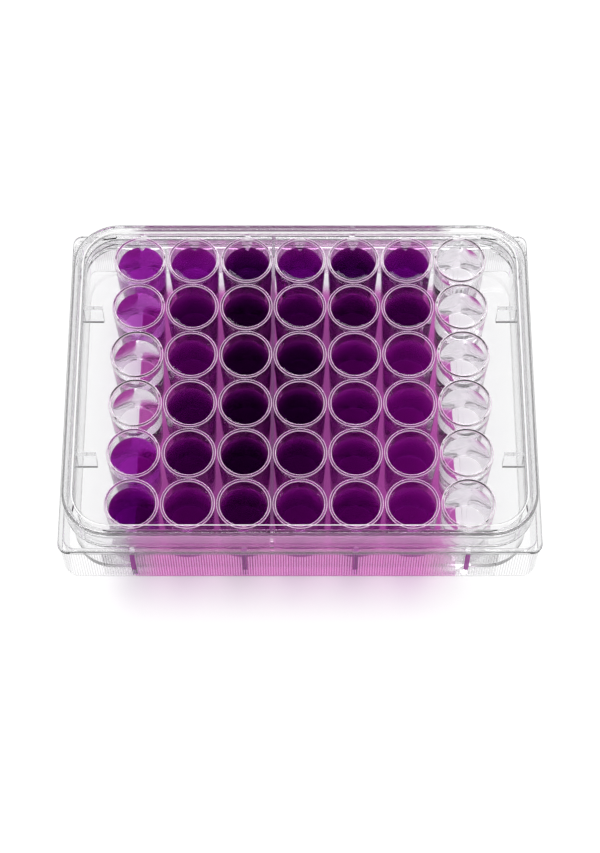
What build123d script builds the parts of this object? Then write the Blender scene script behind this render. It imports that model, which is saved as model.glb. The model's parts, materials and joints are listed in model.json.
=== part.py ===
from build123d import *
import os

# A clear moulded multiwell plate with its lid on and a column of liquid in every well.
# Millimetres, +Z up. The origin is at the middle of the footprint, on the bench.
# Columns run along +X (1, 2, 3 ...), rows run from the back (a) to the front.

# well grid
columns = 7
rows = 6
pitch = 13.08
end_margin = 17.3  # centre of the first column to the end of the plate
side_margin = 10.035  # centre of the first row to the side of the plate

# one well
bore_radius = 5.65
well_wall = 0.75
floor_height = 2.8  # inside floor of the wells above the bench
floor_thickness = 1.2
rim_height = 20.2  # lip of the wells above the bench

# skirt and ledge, which the plate stands and is gripped by
ledge_height = 15.2
ledge_thickness = 1.2
skirt_wall = 1.2
skirt_corner = 4.0
ledge_corner = 2.3

# inner wall round the wells
wall_inset = 2.45  # outer face of this wall, in from the edge of the ledge
tray_wall = 1.4
wall_height = 19.4
wall_corner = 9.75

# webs, gussets and ribs
web_thickness = 1.2
web_columns = (0, 2, 4, 6)
divider_after_column = 3
divider_thickness = 0.8
gusset_length = 4.6
gusset_height = 6.5
gusset_thickness = 1.0
gusset_rows = (1, 4)
floor_rib_lift = 0.4  # under the floor the webs stop this far above the bench
guide_rib_depth = 0.2
post_height = 3.4
post_width = 0.7
post_turn = 35.0  # degrees round the wall's corner from its long side

# lid
lid_clearance = 0.35  # between the lid's skirt and the inner wall
lid_wall = 0.9
lid_top = 1.1
lid_gap = 1.2  # between the well lips and the underside of the lid
bead_height = 0.5
bead_width = 2.0
bead_inset = 0.5
lid_edge = 0.4

# liquid
liquid_depth = 13.6
liquid_sides = 16  # flats that stand for the round column, with their corners on the bore

length = (columns - 1) * pitch + 2 * end_margin
width = (rows - 1) * pitch + 2 * side_margin
well_radius = bore_radius + well_wall
floor_underside = floor_height - floor_thickness
ledge_underside = ledge_height - ledge_thickness
inner_inset = wall_inset + tray_wall
first_column = -(columns - 1) * pitch / 2
first_row = (rows - 1) * pitch / 2


def slab(inset, corner, low, high):
    """A block with rounded upright edges, inset all round from the edge of the ledge."""
    outline = RectangleRounded(length - 2 * inset, width - 2 * inset, corner)
    return Pos(0, 0, low) * extrude(outline, high - low)


def upright(x, y, x_size, y_size, low, high):
    """A plain rib or web, centred on x and y."""
    return Pos(x, y, (low + high) / 2) * Box(x_size, y_size, high - low)


def column_x(column):
    return first_column + column * pitch


def row_y(row):
    return first_row - row * pitch


def tray():
    """The floor, the wall round the wells, the ledge and the skirt that hangs from it."""
    inner_corner = wall_corner - tray_wall
    wall = slab(wall_inset, wall_corner, floor_underside, wall_height)
    wall -= slab(inner_inset, inner_corner, floor_height, wall_height)
    skirt = slab(0, skirt_corner, 0, ledge_underside)
    skirt -= slab(skirt_wall, skirt_corner - skirt_wall, 0, ledge_underside)
    ledge = slab(0, ledge_corner, ledge_underside, ledge_height)
    ledge -= slab(inner_inset, inner_corner, ledge_underside, ledge_height)
    return wall + ledge + skirt


def webs():
    """Webs under the web columns that tie the floor and the long walls to the skirt, with lid guides above."""
    wall_face = width / 2 - wall_inset
    skirt_face = width / 2 - skirt_wall
    reach = skirt_face - wall_face + tray_wall
    pieces = []
    for column in web_columns:
        x = column_x(column)
        pieces.append(upright(x, 0, web_thickness, 2 * skirt_face, floor_rib_lift, floor_height))
        for side in (-1, 1):
            middle = side * (skirt_face - reach / 2)
            pieces.append(upright(x, middle, web_thickness, reach, floor_underside, ledge_height))
            middle = side * (wall_face + guide_rib_depth - tray_wall / 2)
            pieces.append(upright(x, middle, web_thickness, tray_wall, ledge_height, wall_height))
    return pieces


def divider():
    """The thin wall that stands between two columns, from the front wall to the back one."""
    between = column_x(divider_after_column - 1) + pitch / 2
    reach = width - wall_inset - inner_inset
    return upright(between, 0, divider_thickness, reach, floor_height, wall_height)


def gussets():
    """Short ribs on the inside of the end walls, which stop short of the wells."""
    outer_end = length / 2 - inner_inset
    reach = gusset_length + tray_wall / 2
    middle = outer_end + tray_wall / 2 - reach / 2
    return [
        upright(side * middle, row_y(row), reach, gusset_thickness, wall_height - gusset_height, wall_height)
        for side in (-1, 1)
        for row in gusset_rows
    ]


def posts():
    """Small upright ribs on the rounded corners of the inner wall, which steady the lid."""
    corner_x = length / 2 - wall_inset - wall_corner
    corner_y = width / 2 - wall_inset - wall_corner
    out = wall_corner + guide_rib_depth - tray_wall / 2
    top = ledge_height + post_height
    return [
        Pos(end * corner_x, side * corner_y)
        * Rot(0, 0, -end * side * post_turn)
        * upright(0, side * out, post_width, tray_wall, ledge_height, top)
        for end in (-1, 1)
        for side in (-1, 1)
    ]


def well_plate():
    """One moulding: tray, wells, webs, divider and gussets."""
    grid = GridLocations(pitch, pitch, columns, rows)
    up = (Align.CENTER, Align.CENTER, Align.MIN)
    tube = Pos(0, 0, floor_underside) * Cylinder(well_radius, rim_height - floor_underside, align=up)
    bore = Pos(0, 0, floor_height) * Cylinder(bore_radius, rim_height - floor_height, align=up)
    body = tray() + [at * tube for at in grid]
    body += [divider(), *webs(), *gussets(), *posts()]
    return body - [at * bore for at in grid]


def lid():
    """A flat cap with a large corner radius, a short skirt that stands on the ledge, and a raised bead."""
    lid_inset = wall_inset - lid_clearance - lid_wall
    underside = rim_height + lid_gap
    top = underside + lid_top
    outer_corner = wall_corner + lid_clearance + lid_wall
    shell = slab(lid_inset, outer_corner, ledge_height, top)
    shell -= slab(lid_inset + lid_wall, outer_corner - lid_wall, ledge_height, underside)
    shell = chamfer(shell.faces().sort_by(Axis.Z)[-1].edges(), lid_edge)
    outside = lid_inset + bead_inset
    bead = slab(outside, outer_corner - bead_inset, top, top + bead_height)
    bead -= slab(outside + bead_width, outer_corner - bead_inset - bead_width, top, top + bead_height)
    return shell + bead


def sample():
    """The liquid in one well, standing on its floor."""
    outline = RegularPolygon(bore_radius, liquid_sides)
    return Pos(0, 0, floor_height) * extrude(outline, liquid_depth)


os.makedirs("parts", exist_ok=True)
export_step(well_plate(), "parts/well_plate.step")
export_step(lid(), "parts/lid.step")
liquid = sample()
for row in range(rows):
    for column in range(columns):
        name = f"sample_{'abcdefghijklmnop'[row]}{column + 1}"
        export_step(Pos(column_x(column), row_y(row)) * liquid, f"parts/{name}.step")
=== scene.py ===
import json
import math
import bmesh
import bpy
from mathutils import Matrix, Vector


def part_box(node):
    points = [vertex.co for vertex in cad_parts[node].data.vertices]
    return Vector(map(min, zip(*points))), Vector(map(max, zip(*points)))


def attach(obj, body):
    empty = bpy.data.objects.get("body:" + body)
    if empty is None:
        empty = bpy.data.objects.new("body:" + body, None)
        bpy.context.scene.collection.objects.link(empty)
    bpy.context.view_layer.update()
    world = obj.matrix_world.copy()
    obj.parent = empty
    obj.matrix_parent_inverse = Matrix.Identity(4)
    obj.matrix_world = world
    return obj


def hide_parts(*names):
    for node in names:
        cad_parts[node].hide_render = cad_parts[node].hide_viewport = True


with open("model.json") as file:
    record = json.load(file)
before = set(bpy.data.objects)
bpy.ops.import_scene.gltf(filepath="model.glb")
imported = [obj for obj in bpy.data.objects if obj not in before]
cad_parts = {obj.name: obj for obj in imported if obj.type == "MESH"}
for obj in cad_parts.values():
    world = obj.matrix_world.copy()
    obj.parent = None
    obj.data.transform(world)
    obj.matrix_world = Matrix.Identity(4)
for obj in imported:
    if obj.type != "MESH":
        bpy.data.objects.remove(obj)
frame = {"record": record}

mm = 0.001  # the scene is in metres, the sizes below are in millimetres
mergeWithin, tinyEdge, faceWeight = 0.002 * mm, 0.001 * mm, 80


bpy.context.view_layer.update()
plateLow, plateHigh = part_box("well_plate")
lidLow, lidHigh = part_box("lid")
plateLength, plateWidth = (plateHigh.x - plateLow.x) / mm, (plateHigh.y - plateLow.y) / mm

samples = {}  # the middle of each sample's well
for part in frame["record"]["subparts"]:
    if part["node"].startswith("sample_"):
        low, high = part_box(part["node"])
        samples[part["node"]] = ((low.x + high.x) / 2 / mm, (low.y + high.y) / 2 / mm)
        liquidFoot, liquidTop = low.z / mm, high.z / mm
columnLines = sorted({round(x, 3) for x, y in samples.values()})
rowLines = sorted({round(y, 3) for x, y in samples.values()}, reverse=True)
pitch = columnLines[1] - columnLines[0]
webStep = 2 * pitch  # a web stands under every second column
dividerLine = (columnLines[2] + columnLines[3]) / 2
print("wells:", len(columnLines), "columns,", len(rowLines), "rows, pitch", round(pitch, 3))


class Wire:  # one socket, so that maths on it reads as maths
    def __init__(self, maker, socket):
        self.maker, self.socket = maker, socket

    def __add__(self, other):
        return self.maker.maths("ADD", self, other)

    def __sub__(self, other):
        return self.maker.maths("SUBTRACT", self, other)

    def __rsub__(self, other):
        return self.maker.maths("SUBTRACT", other, self)

    def __mul__(self, other):
        return self.maker.maths("MULTIPLY", self, other)

    def __truediv__(self, other):
        return self.maker.maths("DIVIDE", self, other)

    def __gt__(self, other):
        return self.maker.maths("GREATER_THAN", self, other)

    def __lt__(self, other):
        return self.maker.maths("LESS_THAN", self, other)

    def __abs__(self):
        return self.maker.maths("ABSOLUTE", self)

    __radd__, __rmul__ = __add__, __mul__


class Maker:  # adds nodes to one tree
    def __init__(self, tree):
        self.tree = tree

    def node(self, kind, settings=None, values=None, out=0):  # colours are given as (red, green, blue)
        made = self.tree.nodes.new(kind)
        for name, value in (settings or {}).items():
            if name == "stops":  # a ramp's stops: [(place, colour), ...]
                for i, (place, colour) in enumerate(value):
                    stop = made.color_ramp.elements[i] if i < 2 else made.color_ramp.elements.new(place)
                    stop.position, stop.color = place, (*colour, 1)
            else:
                setattr(made, name, value)
        for name, value in (values or {}).items():
            socket = made.inputs[name]
            if isinstance(value, Wire):
                self.tree.links.new(value.socket, socket)
            elif socket.type == "RGBA":
                socket.default_value = (*value, 1)
            else:
                socket.default_value = value
        return Wire(self, made.outputs[out])

    def other(self, wire, out):
        return Wire(self, wire.socket.node.outputs[out])

    def maths(self, operation, *values):
        return self.node("ShaderNodeMath", {"operation": operation}, dict(enumerate(values)))

    def vector(self, operation, *values):
        return self.node("ShaderNodeVectorMath", {"operation": operation}, dict(enumerate(values)))

    def length(self, vector):
        return self.other(self.vector("LENGTH", vector), "Value")

    def split(self, vector):
        parts = self.node("ShaderNodeSeparateXYZ", None, {0: vector})
        return parts, self.other(parts, 1), self.other(parts, 2)

    def place(self):  # the shaded point in the piece's own coordinates
        return self.other(self.node("ShaderNodeTexCoord"), "Object")

    def noise(self, place, scale, detail):
        return self.node("ShaderNodeTexNoise", None, {"Vector": place, "Scale": scale, "Detail": detail})

    def blend(self, factor, first, second):
        made = self.node("ShaderNodeMix", {"data_type": "RGBA"}, {0: factor, 6: first, 7: second})
        return self.other(made, 2)

    def smooth(self, value, start, end):  # from 0 at start to 1 at end
        return self.node("ShaderNodeMapRange", {"interpolation_type": "SMOOTHSTEP"},
                         {"Value": value, "From Min": start, "From Max": end})

    def softBand(self, value, start, end, fade):  # 1 from start to end, fading over that much on both sides
        half = (end - start) / 2
        return self.smooth(abs(value - (start + end) / 2), half + fade, half - fade)

    def repeated(self, value, every):  # the distance from the nearest of evenly spaced lines, with its sign
        return self.maths("WRAP", value, every / 2, -every / 2)

    def either(self, first, *others):  # the largest of some masks
        for other in others:
            first = self.maths("MAXIMUM", first, other)
        return first

    def ray(self, *kinds):  # 1 for a ray of any of these kinds
        path = self.node("ShaderNodeLightPath")
        return self.either(*[self.other(path, kind) for kind in kinds])

    def beyond(self, place, halfX, halfY):  # how far outside a rectangle round the middle, in mm
        edge = (halfX * mm, halfY * mm, 1.0)  # a metre up, so that height doesn't count
        past = self.vector("SUBTRACT", self.vector("ABSOLUTE", place), edge)
        return self.length(self.vector("MAXIMUM", past, (0, 0, 0))) / mm

    def insetFrom(self, place, halfX, halfY, corner):  # how far in from a rounded rectangle's edge, in mm
        return corner - self.beyond(place, halfX - corner, halfY - corner)


def newMaterial(name):
    material = bpy.data.materials.new(name)
    material.use_nodes = True
    material.node_tree.nodes.clear()
    return material, Maker(material.node_tree)


def newTree(name, sockets):  # a geometry tree; gives the tree, its maker and its inputs by name
    tree = bpy.data.node_groups.new(name, "GeometryNodeTree")
    tree.interface.new_socket("Geometry", in_out="INPUT", socket_type="NodeSocketGeometry")
    for socketName, kind in sockets.items():
        tree.interface.new_socket(socketName, in_out="INPUT", socket_type="NodeSocket" + kind)
    tree.interface.new_socket("Geometry", in_out="OUTPUT", socket_type="NodeSocketGeometry")
    maker = Maker(tree)
    entry = tree.nodes.new("NodeGroupInput")
    return tree, maker, {o.name: Wire(maker, o) for o in entry.outputs if o.name}


def closeTree(maker, geometry, material):
    real = maker.node("GeometryNodeRealizeInstances", None, {"Geometry": geometry})
    dressed = maker.node("GeometryNodeSetMaterial", None, {"Geometry": real, "Material": material})
    end = maker.tree.nodes.new("NodeGroupOutput")
    maker.tree.links.new(dressed.socket, end.inputs["Geometry"])


def inMetres(values):
    return tuple(v * mm for v in values)


# runs a tree with these input values and gives the result as a plain mesh object
def grow(name, tree, values, base=None):
    thing = bpy.data.objects.new(name, base or bpy.data.meshes.new(name))
    bpy.context.scene.collection.objects.link(thing)
    modifier = thing.modifiers.new("grow", "NODES")
    modifier.node_group = tree
    for item in tree.interface.items_tree:
        if item.item_type == "SOCKET" and item.in_out == "INPUT" and item.name in values:
            modifier[item.identifier] = values[item.name]
    return settle(thing)


def settle(thing):  # applies what modifiers a piece has
    graph = bpy.context.evaluated_depsgraph_get()
    graph.update()
    mesh = bpy.data.meshes.new_from_object(thing.evaluated_get(graph), depsgraph=graph)
    thing.modifiers.clear()
    thing.data = mesh
    return thing


def outward(thing):
    mesh = bmesh.new()
    mesh.from_mesh(thing.data)
    bmesh.ops.remove_doubles(mesh, verts=mesh.verts, dist=tinyEdge)
    bmesh.ops.recalc_face_normals(mesh, faces=mesh.faces)
    mesh.to_mesh(thing.data)
    mesh.free()


# points are (inset, height, corner radius, edge radius); gives the line with its edges rounded
def roundedProfile(points, steps):
    line = []
    for i, point in enumerate(points):
        here, edge = Vector(point[:3]), point[3]
        if edge == 0 or i in (0, len(points) - 1):
            line.append(here)
            continue
        before, after = Vector(points[i - 1][:3]), Vector(points[i + 1][:3])
        start, end = before - here, after - here
        start = start * min(edge / math.hypot(start.x, start.y), 0.5)  # at most half way to the next point
        end = end * min(edge / math.hypot(end.x, end.y), 0.5)
        for step in range(steps + 1):
            s = step / steps
            line.append(here + start * (1 - s) ** 2 + end * s ** 2)
    return line


def outline(inset, corner, steps):  # a rounded rectangle, that far in from the edge of the plate's ledge
    halfX, halfY = plateLength / 2 - inset, plateWidth / 2 - inset
    line = []
    for turn, (signX, signY) in enumerate(((1, 1), (-1, 1), (-1, -1), (1, -1))):
        for step in range(steps + 1):
            angle = math.radians(90 * (turn + step / steps))
            line.append((signX * (halfX - corner) + corner * math.cos(angle),
                         signY * (halfY - corner) + corner * math.sin(angle)))
    return line


# a closed shell: the profile carried round the rectangle, with a flat face at each end of it
def ringShell(name, profile, cornerSteps):
    mesh = bmesh.new()
    rings = []
    for inset, height, corner in profile:
        line = outline(inset, corner, cornerSteps)
        rings.append([mesh.verts.new(inMetres((x, y, height))) for x, y in line])
    for first, second in zip(rings, rings[1:]):
        for i in range(len(first)):
            j = (i + 1) % len(first)
            mesh.faces.new((first[i], first[j], second[j], second[i]))
    mesh.faces.new(rings[0])
    mesh.faces.new(rings[-1])
    bmesh.ops.recalc_face_normals(mesh, faces=mesh.faces)
    return meshObject(name, mesh)


def meshObject(name, mesh):
    data = bpy.data.meshes.new(name)
    mesh.to_mesh(data)
    mesh.free()
    thing = bpy.data.objects.new(name, data)
    bpy.context.scene.collection.objects.link(thing)
    return thing


def join(thing, others):  # melts the others into the first piece, as one moulding
    for other in others:
        modifier = thing.modifiers.new("join", "BOOLEAN")
        modifier.operation, modifier.solver, modifier.object = "UNION", "MANIFOLD", other
    settle(thing)
    for other in others:
        bpy.data.objects.remove(other)
    return thing


def smoothOver(thing, degrees):  # smooth faces with crisp edges above this angle, flat faces kept flat
    mesh = bmesh.new()
    mesh.from_mesh(thing.data)
    bmesh.ops.remove_doubles(mesh, verts=mesh.verts, dist=mergeWithin)
    bmesh.ops.dissolve_degenerate(mesh, edges=mesh.edges, dist=tinyEdge)
    mesh.to_mesh(thing.data)
    mesh.free()
    shadeSmooth(thing, degrees)
    modifier = thing.modifiers.new("even", "WEIGHTED_NORMAL")
    modifier.mode, modifier.keep_sharp, modifier.weight = "FACE_AREA", True, faceWeight
    return settle(thing)


def shadeSmooth(thing, degrees):
    thing.data.polygons.foreach_set("use_smooth", [True] * len(thing.data.polygons))
    thing.data.set_sharp_from_angle(angle=math.radians(degrees))


view = {"elevation": 64.0, "distance": 520.0, "across": 206.0, "aimUp": 10.5, "aimBack": -7.9,
        "clipStart": 0.01, "clipEnd": 20}

camera = bpy.data.objects.new("camera", bpy.data.cameras.new("camera"))
bpy.context.scene.collection.objects.link(camera)
bpy.context.scene.camera = camera
tilt = math.radians(view["elevation"])
back = Vector((0, -math.cos(tilt), math.sin(tilt)))
aim = Vector((0, view["aimBack"], view["aimUp"])) * mm
camera.location = aim + back * view["distance"] * mm
camera.rotation_mode = "QUATERNION"
camera.rotation_quaternion = (-back).to_track_quat("-Z", "Y")
camera.data.lens = camera.data.sensor_width * view["distance"] / view["across"]
camera.data.clip_start, camera.data.clip_end = view["clipStart"], view["clipEnd"]
print("camera", view["elevation"], "degrees up")


def lampsPass(maker, surface, tint):  # clear stuff bends what is seen through it, but not the lamps' light
    straight = maker.node("ShaderNodeBsdfTransparent", None, {"Color": tint})
    return maker.node("ShaderNodeMixShader", None, {0: maker.ray("Is Shadow Ray"), 1: surface, 2: straight})


# clear plastic, with a satin layer of painted light where the given function puts it: painted highlights and
# painted shade on edges and lips, and a painted glow of the dye
def polystyrene(name, look, paintedLight):
    material, maker = newMaterial(name)
    place = maker.place()
    flow = maker.noise(place, look["flowScale"], look["flowDetail"])
    hazeSpots = maker.noise(place, look["hazeScale"], look["hazeDetail"])
    surface = maker.node("ShaderNodeNewGeometry")
    x, y, height = (part / mm for part in maker.split(place))
    sideways, frontward, upward = (abs(part) for part in maker.split(maker.other(surface, "Normal")))
    at = {"place": place, "x": x, "y": y, "height": height, "aside": abs(y),
          "sideways": sideways, "frontward": frontward, "upward": upward,
          "bends": (upward > look["bendFrom"]) * (upward < look["bendTo"])}  # the rounded edges
    colour = maker.blend(flow, look["light"], look["deep"])
    # the given function paints shade and the dye's glow into the see-through colour, and gives the painted
    # layer's colour and share
    colour, scattered, share = paintedLight(maker, look, at, colour)
    body = maker.node("ShaderNodeBsdfPrincipled", None, {
        "Base Color": colour, "Roughness": look["gloss"] + hazeSpots * look["haze"], "IOR": look["ior"],
        "Transmission Weight": 1.0})
    # painted light: a satin layer with its own emission, a painted glow, on plastic that is clear
    satin = maker.node("ShaderNodeBsdfPrincipled", None, {
        "Base Color": scattered, "Roughness": look["satin"], "Specular IOR Level": 0.0,
        "Emission Color": scattered, "Emission Strength": look["glow"]})
    outside = 1 - maker.other(surface, "Backfacing")
    mixed = maker.node("ShaderNodeMixShader", None, {0: share * outside, 1: body, 2: satin})
    end = maker.tree.nodes.new("ShaderNodeOutputMaterial")
    maker.tree.links.new(lampsPass(maker, mixed, look["tint"]).socket, end.inputs["Surface"])
    return material


plate = {
    "bore": 5.65, "wall": 0.75, "draft": 0.035, "lip": plateHigh.z / mm, "lipEdge": 0.22, "lipSteps": 4,
    "tubeSides": 64, "tubeSink": 0.6,
    "floor": liquidFoot, "floorSheet": 1.2,
    "ledge": 15.2, "ledgeThickness": 1.2, "ledgeCorner": 2.3, "skirtWall": 1.2, "skirtCorner": 4.0,
    "wallInset": 2.45, "trayWall": 1.4, "wallTop": 19.4, "wallCorner": 9.75,
    "wallEdge": 0.3, "wallRoot": 0.15, "ledgeEdge": 0.25, "underRoot": 0.2, "trayEdge": 0.4,
    "floorIn": 0.5, "sheetIn": 1.0, "edgeSteps": 4, "cornerSteps": 12, "crispAbove": 35,
    "webs": 4, "web": 1.2, "lap": 0.4, "webLift": 0.3, "ribLift": 0.4, "ribLap": 0.3, "sink": 0.5,
    "guideProud": 0.2, "guideShort": 0.2, "divider": 0.8, "dividerShort": 0.6, "shortOfTop": 0.05,
    "gusset": 1.0, "gussetLong": 4.6, "gussetHigh": 6.5, "gussetLap": 0.5,
    "postTurn": 35.0, "postWide": 0.7, "postDeep": 1.2, "postHigh": 3.4, "postProud": 0.2, "postLap": 0.1,
    "flute": 0.11, "flutePitch": 0.6, "fluteLow": 0.8, "fluteShort": 0.1, "fluteRadius": 0.3,
    "fluteSides": 10, "fluteClear": 6.0,
}
plateLook = {
    "ior": 1.48, "gloss": 0.0, "haze": 0.01, "hazeScale": 90.0, "hazeDetail": 4.0,
    "flowScale": 140.0, "flowDetail": 3.0, "satin": 0.5, "glow": 0.25,
    "light": (1.0, 1.0, 1.0), "deep": (0.985, 0.985, 0.995), "tint": (0.995, 0.995, 0.995),
    "bendFrom": 0.15, "bendTo": 0.96, "facing": 0.9, "uprightTo": 0.3,
    # the colours from here on are painted light in the clear plastic: painted shade, the dye's painted glow
    # and painted highlights
    "edge": (0.6, 0.6, 0.62), "edgeFrom": 13.5,
    "stain": (0.62, 0.16, 0.53), "stainTop": 2.85, "stainFrom": -39.24, "stainTo": 37.0,
    "stainBack": 34.5, "stainFade": 2.0,
    "webStain": (0.5, 0.3, 0.55), "webReach": 2.5, "ribTop": 2.3, "ribIn": 6.0,
    "dividerStain": (0.35, 0.28, 0.36), "dividerFrom": 19.2, "dividerHalf": 0.5,
    "tubeStain": (0.82, 0.50, 0.79), "tubeReach": 32.7,
    "rimTo": 0.3, "hemTo": 0.35, "rim": 0.35, "rimScatter": (0.25, 0.25, 0.25),
    "dyedRim": (0.40, 0.24, 0.38), "hemTop": 2.2, "hem": 0.75,
    "skirtStain": (0.85, 0.26, 0.63), "skirtIn": 1.3, "skirtTop": 14.0, "skirtFrom": -37.0, "skirtTo": 33.0,
    "skirtFade": 5.0, "skirt": 0.3, "skirtScatter": (0.50, 0.06, 0.40),
    "groovePitch": 0.6, "grooveHalf": 0.14, "grooveFrom": 0.9, "groove": 0.3,
    "grooveScatter": (0.90, 0.45, 0.82), "paleGroove": 0.2, "paleGrooveScatter": (0.45, 0.42, 0.45),
    "fringeFrom": 12.3, "fringeCurve": 0.11, "fringeStain": (0.30, 0.05, 0.28),
    "barHalf": 0.6, "barFrom": 4.5, "bar": 0.6,
    "lipFrom": 19.75, "lipFlat": 0.05, "lipEdge": 0.8, "lipLight": (0.98, 0.80, 0.94),
    "paleScatter": (0.85, 0.83, 0.86), "dyedScatter": (0.55, 0.15, 0.50),
}


# painted light on the plate: a painted glow of the dye in the floor sheet, tubes and skirt, painted purple
# shade on the webs, painted shade on the divider, fringe and edges, and painted highlights on the lips, hem
# and rounded edges
def platePaintedLight(maker, look, at, colour):
    x, y, height, aside, bends = at["x"], at["y"], at["height"], at["aside"], at["bends"]
    margin = plateWidth / 2 - look["skirtIn"]
    inset = maker.insetFrom(at["place"], plateLength / 2, plateWidth / 2, plate["ledgeCorner"])
    # painted highlight: a pale pink satin share on the lips' rounded edges, and a faint one on their flat top
    lips = height > look["lipFrom"]
    # painted shade: the plate's rounded edges between ledge and lips greyed, for dark refraction lines
    edges = bends * (height > look["edgeFrom"]) * (height < look["lipFrom"])
    colour = maker.blend(edges, colour, look["edge"])
    # painted glow: the clear floor sheet between the dyed columns tinted purple for the dye's light falling
    # under the wells
    between = (x > look["stainFrom"]) * (x < look["stainTo"])
    between = between * maker.softBand(y, -plateWidth / 2, look["stainBack"], look["stainFade"])
    colour = maker.blend((height < look["stainTop"]) * between, colour, look["stain"])
    # painted glow: the upright tube walls over the dyed columns tinted pink, for the dye's light seen through
    # them
    tubes = (aside < margin - look["webReach"]) * (abs(x) < look["tubeReach"])
    tubes = tubes * (at["upward"] < look["uprightTo"])
    tubes = tubes * (height > look["stainTop"]) * (height < look["lipFrom"])
    colour = maker.blend(tubes, colour, look["tubeStain"])
    # painted shade: the side faces of the webs and of the ribs under the floor tinted dark purple
    side = (at["sideways"] > look["facing"]) * (aside < margin) * (inset > look["skirtIn"])
    web = side * (aside > margin - look["webReach"]) * (height < look["skirtTop"])
    rib = side * (height < look["ribTop"]) * (inset > look["ribIn"])
    colour = maker.blend(maker.either(web, rib), colour, look["webStain"])
    # painted shade: a dark line along the divider's top
    divider = (abs(x - dividerLine) < look["dividerHalf"]) * (height > look["dividerFrom"])
    colour = maker.blend(divider, colour, look["dividerStain"])
    # painted glow: the front skirt across the dyed columns tinted pink, with a pink satin share, for the
    # dye's light coming through it
    face = (aside > margin) * (height < look["skirtTop"])
    front = face * (y < 0)
    skirt = front * maker.softBand(x, look["skirtFrom"], look["skirtTo"], look["skirtFade"])
    # painted reflection: dark arched teeth at the skirt's top below each tube, for the dark wells mirrored in
    # the flutes
    off = maker.repeated(x - columnLines[0], pitch)
    fringe = skirt * (height > look["fringeFrom"] + off * off * look["fringeCurve"])
    bars = front * (abs(maker.repeated(x - columnLines[0], webStep)) < look["barHalf"])
    bars = bars * (height > look["barFrom"])  # the webs, painted dark on the skirt as if seen through it
    dark = maker.either(fringe, bars)
    # painted highlight: lighter lines at the flutes' pitch in the satin layer on the skirt
    grooves = abs(maker.repeated(x, look["groovePitch"])) < look["grooveHalf"]
    grooves = grooves * (height > look["grooveFrom"])
    skirtColour = maker.blend(dark, look["skirtStain"], look["fringeStain"])
    colour = maker.blend(maker.either(skirt, bars), colour, skirtColour)
    hem = bends * (height < look["hemTop"]) * (inset > look["skirtIn"])  # the tray's rounded foot, given a painted highlight
    # painted shade: the ledge's outer edges, top and bottom, take a dark grey satin share, dark pink by the
    # painted skirt glow
    rim = (inset < look["rimTo"]) * ((height > look["edgeFrom"]) + (height < look["hemTo"]))
    share = lips * (look["lipFlat"] + bends * (look["lipEdge"] - look["lipFlat"]))
    share = share + skirt * (look["skirt"] + grooves * look["groove"])
    share = share + (face - skirt) * (grooves * look["paleGroove"] + bars * look["bar"])
    share = share + rim * look["rim"] + hem * look["hem"]
    # painted light colours of the satin layer: pale over the clear ends, dye-pink between the dyed columns
    scattered = maker.blend(between, look["paleScatter"], look["dyedScatter"])
    scattered = maker.blend(lips * bends, scattered, look["lipLight"])
    onSkirt = maker.blend(grooves, look["skirtScatter"], look["grooveScatter"])
    onSkirt = maker.blend(skirt, look["paleGrooveScatter"], onSkirt)
    onSkirt = maker.blend(dark, onSkirt, look["fringeStain"])
    scattered = maker.blend(face, scattered, onSkirt)
    scattered = maker.blend(hem, scattered, look["paleScatter"])
    onRim = maker.blend(skirt, look["rimScatter"], look["dyedRim"])
    scattered = maker.blend(rim, scattered, onRim)
    return colour, scattered, share


plateMaterial = polystyrene("clearPlate", plateLook, platePaintedLight)


def trayShell():
    p = plate
    inner, innerCorner = p["wallInset"] + p["trayWall"], p["wallCorner"] - p["trayWall"]
    under, sheet = p["ledge"] - p["ledgeThickness"], p["floor"] - p["floorSheet"]
    skin, corner = p["flute"], p["skirtCorner"]
    profile = roundedProfile([
        (inner + p["floorIn"], p["floor"], innerCorner - p["floorIn"], 0),
        (inner, p["floor"], innerCorner, p["wallEdge"]),
        (inner, p["wallTop"], innerCorner, p["wallEdge"]),
        (p["wallInset"], p["wallTop"], p["wallCorner"], p["wallEdge"]),
        (p["wallInset"], p["ledge"], p["wallCorner"], p["wallRoot"]),
        (0, p["ledge"], p["ledgeCorner"], p["ledgeEdge"]),
        (0, under, p["ledgeCorner"], p["ledgeEdge"]),
        (skin, under, corner - skin, 0),
        (skin, 0, corner - skin, p["wallEdge"]),
        (p["skirtWall"], 0, corner - p["skirtWall"], p["wallEdge"]),
        (p["skirtWall"], under, corner - p["skirtWall"], p["underRoot"]),
        (p["wallInset"], under, p["wallCorner"], p["underRoot"]),
        (p["wallInset"], sheet, p["wallCorner"], p["trayEdge"]),
        (p["wallInset"] + p["sheetIn"], sheet, p["wallCorner"] - p["sheetIn"], 0),
    ], p["edgeSteps"])
    return ringShell("wellPlate", profile, p["cornerSteps"])


def narrowed(maker, geometry, top, draft):  # draws a round piece in, by this share of the depth below its top
    x, y, height = maker.split(maker.node("GeometryNodeInputPosition"))
    out = maker.vector("NORMALIZE", maker.node("ShaderNodeCombineXYZ", None, {"X": x, "Y": y}))
    shift = maker.node("ShaderNodeVectorMath", {"operation": "SCALE"},
                       {0: out, "Scale": (height - top) * draft})
    return maker.node("GeometryNodeSetPosition", None, {"Geometry": geometry, "Offset": shift})


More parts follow.
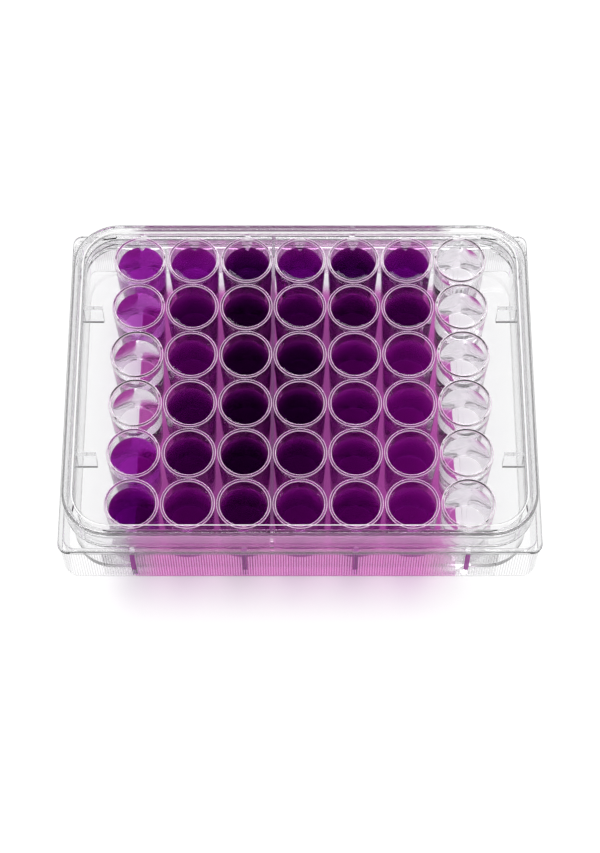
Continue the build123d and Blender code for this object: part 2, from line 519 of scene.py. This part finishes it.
def tubeTree():
    tree, maker, value = newTree("wellTubes", {
        "Columns": "Int", "Rows": "Int", "Pitch": "Float", "Bore": "Float", "Wall": "Float", "Foot": "Float",
        "Lip": "Float", "Lip Edge": "Float", "Lip Steps": "Int", "Draft": "Float", "Sides": "Int",
        "Material": "Material"})
    ring = maker.node("GeometryNodeCurvePrimitiveCircle", None,
                      {"Resolution": value["Sides"], "Radius": value["Bore"] + value["Wall"] * 0.5})
    section = maker.node("GeometryNodeCurvePrimitiveQuadrilateral", None,
                         {"Width": value["Wall"], "Height": value["Lip"] - value["Foot"]})
    rounded = maker.node("GeometryNodeFilletCurve", {"mode": "POLY"},
                         {"Curve": section, "Count": value["Lip Steps"], "Radius": value["Lip Edge"]})
    tube = maker.node("GeometryNodeCurveToMesh", None, {"Curve": ring, "Profile Curve": rounded})
    lift = maker.node("ShaderNodeCombineXYZ", None, {"Z": (value["Lip"] + value["Foot"]) * 0.5})
    stood = maker.node("GeometryNodeTransform", None, {"Geometry": tube, "Translation": lift})
    stood = narrowed(maker, stood, value["Lip"], value["Draft"])
    grid = maker.node("GeometryNodeMeshGrid", None, {
        "Size X": (value["Columns"] - 1) * value["Pitch"], "Size Y": (value["Rows"] - 1) * value["Pitch"],
        "Vertices X": value["Columns"], "Vertices Y": value["Rows"]})
    wells = maker.node("GeometryNodeInstanceOnPoints", None, {"Points": grid, "Instance": stood})
    closeTree(maker, wells, value["Material"])
    return tree


def lineOf(maker, value, instance, turn=(0, 0, 0)):  # evenly spaced copies along a line
    line = maker.node("GeometryNodeMeshLine", None,
                      {"Count": value["Count"], "Start Location": value["Start"], "Offset": value["Step"]})
    copies = maker.node("GeometryNodeInstanceOnPoints", None,
                        {"Points": line, "Instance": instance, "Rotation": turn})
    closeTree(maker, copies, value["Material"])


def barTree():
    tree, maker, value = newTree("barRow", {
        "Count": "Int", "Start": "Vector", "Step": "Vector", "Size": "Vector", "Turn": "Float",
        "Material": "Material"})
    bar = maker.node("GeometryNodeMeshCube", None, {"Size": value["Size"]})
    lineOf(maker, value, bar, maker.node("ShaderNodeCombineXYZ", None, {"Z": value["Turn"]}))
    return tree


def fluteTree():
    tree, maker, value = newTree("gripFlutes", {
        "Count": "Int", "Start": "Vector", "Step": "Vector", "Radius": "Float", "Height": "Float",
        "Sides": "Int", "Material": "Material"})
    flute = maker.node("GeometryNodeMeshCylinder", None,
                       {"Vertices": value["Sides"], "Radius": value["Radius"], "Depth": value["Height"]})
    lineOf(maker, value, flute)
    return tree


def span(middle, size):
    return middle - size / 2, middle + size / 2


def onSide(side, near, far):  # a span from near to far, on the plus or the minus side
    return (near, far) if side > 0 else (-far, -near)


def plateBars():  # the ribs, webs, guides, divider, gussets and posts
    p = plate
    tree = barTree()
    made = []

    def add(name, count, spans, step=(0, 0, 0), turn=0.0):  # spans are the first bar's ends on x, y and z
        made.append(grow(name, tree, {
            "Count": count, "Start": inMetres((low + high) / 2 for low, high in spans),
            "Size": inMetres(high - low for low, high in spans), "Step": inMetres(step),
            "Turn": math.radians(turn), "Material": plateMaterial}))

    under, sheet, top = p["ledge"] - p["ledgeThickness"], p["floor"] - p["floorSheet"], p["wallTop"]
    skirtFace, wallFace = plateWidth / 2 - p["skirtWall"], plateWidth / 2 - p["wallInset"]
    endFace = plateLength / 2 - p["wallInset"] - p["trayWall"]
    firstWeb, step = span(columnLines[0], p["web"]), (webStep, 0, 0)
    belowFloor, belowTop = p["floor"] - p["sink"], top - p["shortOfTop"]
    across = span(0, 2 * (skirtFace + p["ribLap"]))
    add("floorRibs", p["webs"], (firstWeb, across, (p["ribLift"], belowFloor)), step)
    for side in (-1, 1):
        across = onSide(side, wallFace - p["lap"], skirtFace + p["lap"])
        add("webs", p["webs"], (firstWeb, across, (sheet + p["webLift"], under + p["lap"])), step)
        across = onSide(side, wallFace - p["lap"], wallFace + p["guideProud"])
        add("guides", p["webs"], (firstWeb, across, (p["ledge"] - p["lap"], top - p["guideShort"])), step)
    across = span(0, 2 * (wallFace - p["dividerShort"]))
    add("divider", 1, (span(dividerLine, p["divider"]), across, (belowFloor, belowTop)))
    for side in (-1, 1):  # gussets on the end walls, beside the second and the fifth row
        along = onSide(side, endFace - p["gussetLong"], endFace + p["gussetLap"])
        add("gussets", 2, (along, span(rowLines[4], p["gusset"]), (belowTop - p["gussetHigh"], belowTop)),
            (0, rowLines[1] - rowLines[4], 0))
    cornerX = plateLength / 2 - p["wallInset"] - p["wallCorner"]
    cornerY = wallFace - p["wallCorner"]
    out, turn = p["wallCorner"] + p["postProud"] - p["postDeep"] / 2, math.radians(p["postTurn"])
    for end in (-1, 1):
        for side in (-1, 1):
            spans = (span(end * (cornerX + out * math.sin(turn)), p["postWide"]),
                     span(side * (cornerY + out * math.cos(turn)), p["postDeep"]),
                     (p["ledge"] - p["postLap"], p["ledge"] + p["postHigh"]))
            add("post", 1, spans, turn=-end * side * p["postTurn"])
    return made


def plateFlutes():
    p = plate
    tree = fluteTree()
    reach = plateLength / 2 - p["skirtCorner"] - p["fluteClear"]
    count, radius = int(2 * reach / p["flutePitch"]), p["fluteRadius"]
    height = p["ledge"] - p["ledgeThickness"] - p["fluteLow"] - p["fluteShort"]
    made = []
    for side in (-1, 1):
        start = (-(count - 1) / 2 * p["flutePitch"], side * (plateWidth / 2 - radius),
                 p["fluteLow"] + height / 2)
        made.append(grow("flutes", tree, {
            "Count": count, "Start": inMetres(start), "Step": inMetres((p["flutePitch"], 0, 0)),
            "Radius": radius * mm, "Height": height * mm, "Sides": p["fluteSides"],
            "Material": plateMaterial}))
    return made


def buildPlate():
    p = plate
    tubes = grow("tubes", tubeTree(), {
        "Columns": len(columnLines), "Rows": len(rowLines), "Pitch": pitch * mm, "Bore": p["bore"] * mm,
        "Wall": p["wall"] * mm, "Foot": (p["floor"] - p["tubeSink"]) * mm, "Lip": p["lip"] * mm,
        "Lip Edge": p["lipEdge"] * mm, "Lip Steps": p["lipSteps"], "Draft": p["draft"],
        "Sides": p["tubeSides"], "Material": plateMaterial})
    extras = [tubes] + plateBars() + plateFlutes()
    for extra in extras:
        outward(extra)
    body = join(trayShell(), extras)
    body.data.materials.clear()
    body.data.materials.append(plateMaterial)
    smoothOver(body, p["crispAbove"])
    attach(body, "root")
    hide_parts("well_plate")
    return body


wellPlate = buildPlate()
print("plate:", len(wellPlate.data.polygons), "faces")


# the foot stands a hair above the ledge, so that no two clear faces coincide
lid = {"inset": 1.2, "wall": 0.9, "corner": 11.0, "foot": lidLow.z / mm + 0.04, "under": 21.4, "top": 22.5,
       "bead": lidHigh.z / mm, "beadInset": 0.5, "beadWidth": 2.0,
       "innerEdge": 0.25, "footEdge": 0.2, "topEdge": 0.35, "beadEdge": 0.2, "beadRoot": 0.15,
       "underIn": 1.2, "topIn": 0.6, "edgeSteps": 5, "cornerSteps": 16, "crispAbove": 40}
lidLook = {
    "ior": 1.45, "gloss": 0.0, "haze": 0.0, "hazeScale": 60.0, "hazeDetail": 4.0,
    "flowScale": 80.0, "flowDetail": 3.0, "satin": 0.5, "glow": 0.2,
    "light": (1.0, 1.0, 1.0), "deep": (0.99, 0.99, 0.995), "tint": (0.995, 0.995, 0.995),
    "bendFrom": 0.15, "bendTo": 0.96, "facing": 0.9,
    # the colours from here on are painted light in the clear lid: painted shade, painted highlights and the
    # dye's painted glow
    "edge": (0.12, 0.12, 0.12), "dyedEdge": (0.20, 0.09, 0.19), "edgeTo": 0.7, "edgeFrom": 22.2,
    "edgeShare": 0.6, "lineFrom": 2.5, "lineTo": 2.8, "line": 0.45, "bandTo": 1.7, "bandShare": 0.6,
    "beadFrom": 22.72, "beadIn": 2.25, "bead": 0.95, "footTo": 15.9, "foot": 0.9,
    "insideFrom": 0.6, "farFrom": 19.2, "farTo": 21.7, "farShare": 0.8,
    "wallShare": 0.3, "wallScatter": (0.82, 0.30, 0.70), "wallTop": 22.0, "wallFrom": -40.0, "wallTo": 36.0,
    "wallFade": 3.0, "wallStain": (0.92, 0.80, 0.90),
}


# painted light on the lid: painted shade on its top edge and far side, painted highlights on its bead's inner
# edge and its foot, and a painted glow of the dye on its front wall
def lidPaintedLight(maker, look, at, colour):
    y, height, bends = at["y"], at["height"], at["bends"]
    halfX, halfY = plateLength / 2 - lid["inset"], plateWidth / 2 - lid["inset"]
    inset = maker.insetFrom(at["place"], halfX, halfY, lid["corner"])
    overDyedWells = maker.softBand(at["x"], look["wallFrom"], look["wallTo"], look["wallFade"])
    upright = at["frontward"] > look["facing"]
    # painted glow: upright front and back faces over the dyed wells tinted pale pink, the front one with a
    # pink satin share, for the dye's light seen through the lid
    wall = upright * (height < look["wallTop"]) * overDyedWells
    colour = maker.blend(wall, colour, look["wallStain"])
    # painted shade: dark bands on the lid's top outer edge, a line across its top, the inside of its far wall
    # and a band along its far edge
    top = (height > look["edgeFrom"]) * (height < look["beadFrom"])
    dark = top * (inset < look["edgeTo"])
    line = top * (inset > look["lineFrom"]) * (inset < look["lineTo"])
    # painted highlight: a white satin share on the bead's inner part and the foot's rounded edge
    bead = (height > look["beadFrom"]) * (inset > look["beadIn"])
    foot = bends * (height < look["footTo"])
    far = (y > 0) * upright * (inset > look["insideFrom"])
    far = far * (height > look["farFrom"]) * (height < look["farTo"])
    band = (y > 0) * (height > look["edgeFrom"]) * (inset < look["bandTo"]) * overDyedWells * (1 - dark)
    share = dark * look["edgeShare"] + line * look["line"] + bead * look["bead"] + foot * look["foot"]
    share = share + band * look["bandShare"] + far * overDyedWells * look["farShare"]
    share = share + wall * (1 - foot) * (y < 0) * look["wallShare"]
    edge = maker.blend(overDyedWells, look["edge"], look["dyedEdge"])
    scattered = maker.blend(wall, look["light"], look["wallScatter"])
    scattered = maker.blend(foot, scattered, look["light"])
    scattered = maker.blend(dark + line + far + band, scattered, edge)
    return colour, scattered, share


def buildLid():
    q = lid
    inside, outside = q["inset"] + q["wall"], q["inset"]
    beadOut = q["inset"] + q["beadInset"]
    beadIn = beadOut + q["beadWidth"]

    def at(inset, height, edge):
        return (inset, height, q["corner"] - (inset - q["inset"]), edge)

    profile = roundedProfile([
        at(inside + q["underIn"], q["under"], 0),
        at(inside, q["under"], q["innerEdge"]),
        at(inside, q["foot"], q["footEdge"]),
        at(outside, q["foot"], q["footEdge"]),
        at(outside, q["top"], q["topEdge"]),
        at(beadOut, q["top"], q["beadRoot"]),
        at(beadOut, q["bead"], q["beadEdge"]),
        at(beadIn, q["bead"], q["beadEdge"]),
        at(beadIn, q["top"], q["beadRoot"]),
        at(beadIn + q["topIn"], q["top"], 0),
    ], q["edgeSteps"])
    cap = ringShell("lidCap", profile, q["cornerSteps"])
    cap.data.materials.append(polystyrene("clearLid", lidLook, lidPaintedLight))
    smoothOver(cap, q["crispAbove"])
    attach(cap, "root")
    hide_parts("lid")
    return cap


lidCap = buildLid()
print("lid:", len(lidCap.data.polygons), "faces")


# the liquid laps into the well's wall and floor by a hair, and its rim climbs the wall
liquid = {"radius": plate["bore"], "lap": 0.04, "rise": 0.5, "creep": 0.8, "sides": 64, "rings": 12,
          "crispAbove": 50}
dyeLook = {
    "dye": (0.72, 0.02, 0.765), "ior": 1.333, "tint": (0.99, 0.99, 0.99),
    "light": (1, 1, 1), "deep": (0.99, 0.97, 0.99), "driftScale": 260.0, "detail": 2.0,
    # painted side light: the colour of the diffuse layer that lightens the wells' sides, and its shares
    "wall": (0.62, 0.07, 0.60), "streak": (1, 1, 0.04), "streakScale": 900.0, "paintedSideLight": 0.4, "streaks": 1.2,
    "uprightTo": 0.5,
}
liquidLooks = {  # how strong the dye is, and how much painted side light its upright side takes
    "liquid_clear": {"density": 1.5, "wall": 0.0},
    "liquid_pale": {"density": 138.0, "wall": 0.15},
    "liquid_medium": {"density": 280.0, "wall": 0.2},
    "liquid_strong": {"density": 370.0, "wall": 0.22},
    "liquid_dark": {"density": 540.0, "wall": 0.2},
    "liquid_deep": {"density": 800.0, "wall": 0.15},
}


def liquidMaterial(name, look):
    material, maker = newMaterial(name)
    place = maker.place()
    drift = maker.noise(place, dyeLook["driftScale"], dyeLook["detail"])
    body = maker.node("ShaderNodeBsdfPrincipled", None, {
        "Base Color": maker.blend(drift, dyeLook["light"], dyeLook["deep"]), "Roughness": 0.0,
        "IOR": dyeLook["ior"], "Transmission Weight": 1.0})
    if look["wall"] > 0:  # painted light: a purple diffuse layer on the liquid's upright side, in vertical streaks, for light coming into the wells from the side
        drawn = maker.vector("MULTIPLY", place, dyeLook["streak"])
        streaks = maker.noise(drawn, dyeLook["streakScale"], dyeLook["detail"])
        normal = maker.other(maker.node("ShaderNodeNewGeometry"), "Normal")
        upright = abs(maker.split(normal)[2]) < dyeLook["uprightTo"]
        paintedSideLight = maker.node("ShaderNodeBsdfDiffuse", None, {"Color": dyeLook["wall"]})
        share = upright * (dyeLook["paintedSideLight"] + dyeLook["streaks"] * streaks) * look["wall"]
        body = maker.node("ShaderNodeMixShader", None, {0: share, 1: body, 2: paintedSideLight})
    end = maker.tree.nodes.new("ShaderNodeOutputMaterial")
    maker.tree.links.new(lampsPass(maker, body, dyeLook["tint"]).socket, end.inputs["Surface"])
    dye = maker.node("ShaderNodeVolumeAbsorption", None,
                     {"Color": dyeLook["dye"], "Density": look["density"]})
    maker.tree.links.new(dye.socket, end.inputs["Volume"])
    return material


def liquidTree():
    tree, maker, value = newTree("liquidColumns", {
        "Radius": "Float", "Foot": "Float", "Top": "Float", "Lip": "Float", "Rise": "Float", "Creep": "Float",
        "Draft": "Float", "Sides": "Int", "Rings": "Int", "Material": "Material"})
    column = maker.node("GeometryNodeMeshCylinder", {"fill_type": "TRIANGLE_FAN"}, {
        "Vertices": value["Sides"], "Side Segments": 1, "Fill Segments": value["Rings"],
        "Radius": value["Radius"], "Depth": value["Top"] - value["Foot"]})
    x, y, height = maker.split(maker.node("GeometryNodeInputPosition"))
    out = maker.length(maker.node("ShaderNodeCombineXYZ", None, {"X": x, "Y": y}))
    climb = maker.maths("EXPONENT", (out - value["Radius"]) / value["Creep"])
    upper = height > 0.0
    shift = maker.node("ShaderNodeCombineXYZ", None,
                       {"Z": climb * value["Rise"] * upper + (value["Top"] + value["Foot"]) * 0.5})
    shaped = maker.node("GeometryNodeSetPosition", None, {"Geometry": column, "Offset": shift})
    shaped = narrowed(maker, shaped, value["Lip"], value["Draft"])
    columns = maker.node("GeometryNodeInstanceOnPoints", None,
                         {"Points": value["Geometry"], "Instance": shaped})
    closeTree(maker, columns, value["Material"])
    return tree


def buildLiquids():  # one piece for all the wells of one strength
    q = liquid
    tree = liquidTree()
    for slotName, look in liquidLooks.items():
        nodes = [part["node"] for part in frame["record"]["subparts"] if part["material_slot"] == slotName]
        if not nodes:
            continue
        base = bpy.data.meshes.new(slotName)
        base.from_pydata([inMetres((*samples[node], 0)) for node in nodes], [], [])
        material = liquidMaterial(slotName, look)
        name = "liquid" + slotName.split("_")[1].capitalize()
        body = grow(name, tree, {
            "Radius": (q["radius"] + q["lap"]) * mm, "Foot": (liquidFoot - q["lap"]) * mm,
            "Top": liquidTop * mm, "Lip": plate["lip"] * mm, "Draft": plate["draft"],
            "Rise": q["rise"] * mm, "Creep": q["creep"] * mm, "Sides": q["sides"], "Rings": q["rings"],
            "Material": material}, base)
        outward(body)
        body.data.materials.clear()
        body.data.materials.append(material)
        shadeSmooth(body, q["crispAbove"])
        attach(body, "root")
        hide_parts(*nodes)
        print(name + ":", len(nodes), "wells")


buildLiquids()


stageLook = {
    "floor": (0.95, 0.95, 0.955), "radius": 6.0, "sides": 96, "white": 1.08, "mirrored": (0.86, 0.86, 0.86),
    "alongside": 35.0, "near": -4.0, "far": 19.0, "least": 0.2,  # the dye's glow on the ground fades out
    "world": (0.63, 0.63, 0.63),
    "mirroredWorld": ((0.10, (0.55, 0.55, 0.55)), (0.20, (1, 1, 1)), (0.38, (1, 1, 1)), (0.60, (0, 0, 0))),
}
lamps = {  # place, size, power, and whether it lights things or only glints in the plastic
    "backLamp": ((0.08, 0.75, 0.62), 0.6, 5.0, True),
    "leftGlint": ((-0.8, -0.35, 0.5), 0.3, 1.0, False),
    "rightGlint": ((0.8, -0.25, 0.5), 0.3, 1.0, False),
}
bounces = {"max_bounces": 24, "transmission_bounces": 24, "transparent_max_bounces": 48,
           "glossy_bounces": 6, "diffuse_bounces": 3}


def buildFloor():
    look = stageLook
    mesh = bmesh.new()
    bmesh.ops.create_circle(mesh, cap_ends=True, segments=look["sides"], radius=look["radius"])
    ground = meshObject("ground", mesh)
    material, maker = newMaterial("paleGround")
    out = maker.beyond(maker.place(), look["alongside"], plateWidth / 2)
    fade = look["least"] + maker.smooth(out, look["near"], look["far"]) * (1 - look["least"])
    seen = fade * maker.ray("Is Camera Ray", "Is Glossy Ray", "Is Transmission Ray")
    matt = maker.node("ShaderNodeBsdfDiffuse", None, {"Color": look["floor"]})
    inMirror = maker.other(maker.node("ShaderNodeLightPath"), "Glossy Depth") > 0.5
    white = maker.node("ShaderNodeEmission", None, {
        "Color": maker.blend(inMirror, (1, 1, 1), look["mirrored"]), "Strength": look["white"]})
    end = maker.tree.nodes.new("ShaderNodeOutputMaterial")
    mixed = maker.node("ShaderNodeMixShader", None, {0: seen, 1: matt, 2: white})
    maker.tree.links.new(mixed.socket, end.inputs["Surface"])
    ground.data.materials.append(material)


def buildWorld():
    world = bpy.data.worlds.new("studio")
    bpy.context.scene.world = world
    world.use_nodes = True
    world.node_tree.nodes.clear()
    maker = Maker(world.node_tree)
    height = maker.split(maker.other(maker.node("ShaderNodeTexCoord"), "Generated"))[2]
    ramp = maker.node("ShaderNodeValToRGB", {"stops": stageLook["mirroredWorld"]}, {0: height})
    inClear = maker.ray("Is Glossy Ray", "Is Transmission Ray")
    colour = maker.blend(inClear, stageLook["world"], ramp)
    colour = maker.blend(maker.ray("Is Camera Ray"), colour, (1, 1, 1))
    light = maker.node("ShaderNodeBackground", None, {"Color": colour, "Strength": 1.0})
    end = world.node_tree.nodes.new("ShaderNodeOutputWorld")
    world.node_tree.links.new(light.socket, end.inputs["Surface"])


def softLamp(name, place, size, power, lights):
    data = bpy.data.lights.new(name, "AREA")
    data.shape, data.size, data.energy = "DISK", size, power
    lamp = bpy.data.objects.new(name, data)
    bpy.context.scene.collection.objects.link(lamp)
    lamp.location = place
    lamp.rotation_mode = "QUATERNION"
    lamp.rotation_quaternion = Vector(place).to_track_quat("Z", "Y")
    lamp.visible_camera = False
    lamp.visible_diffuse = lights


buildFloor()
buildWorld()
for name, lamp in lamps.items():
    softLamp(name, *lamp)
for name, count in bounces.items():
    setattr(bpy.context.scene.cycles, name, count)
bpy.context.scene.view_settings.view_transform = "Standard"
print("stage ready")
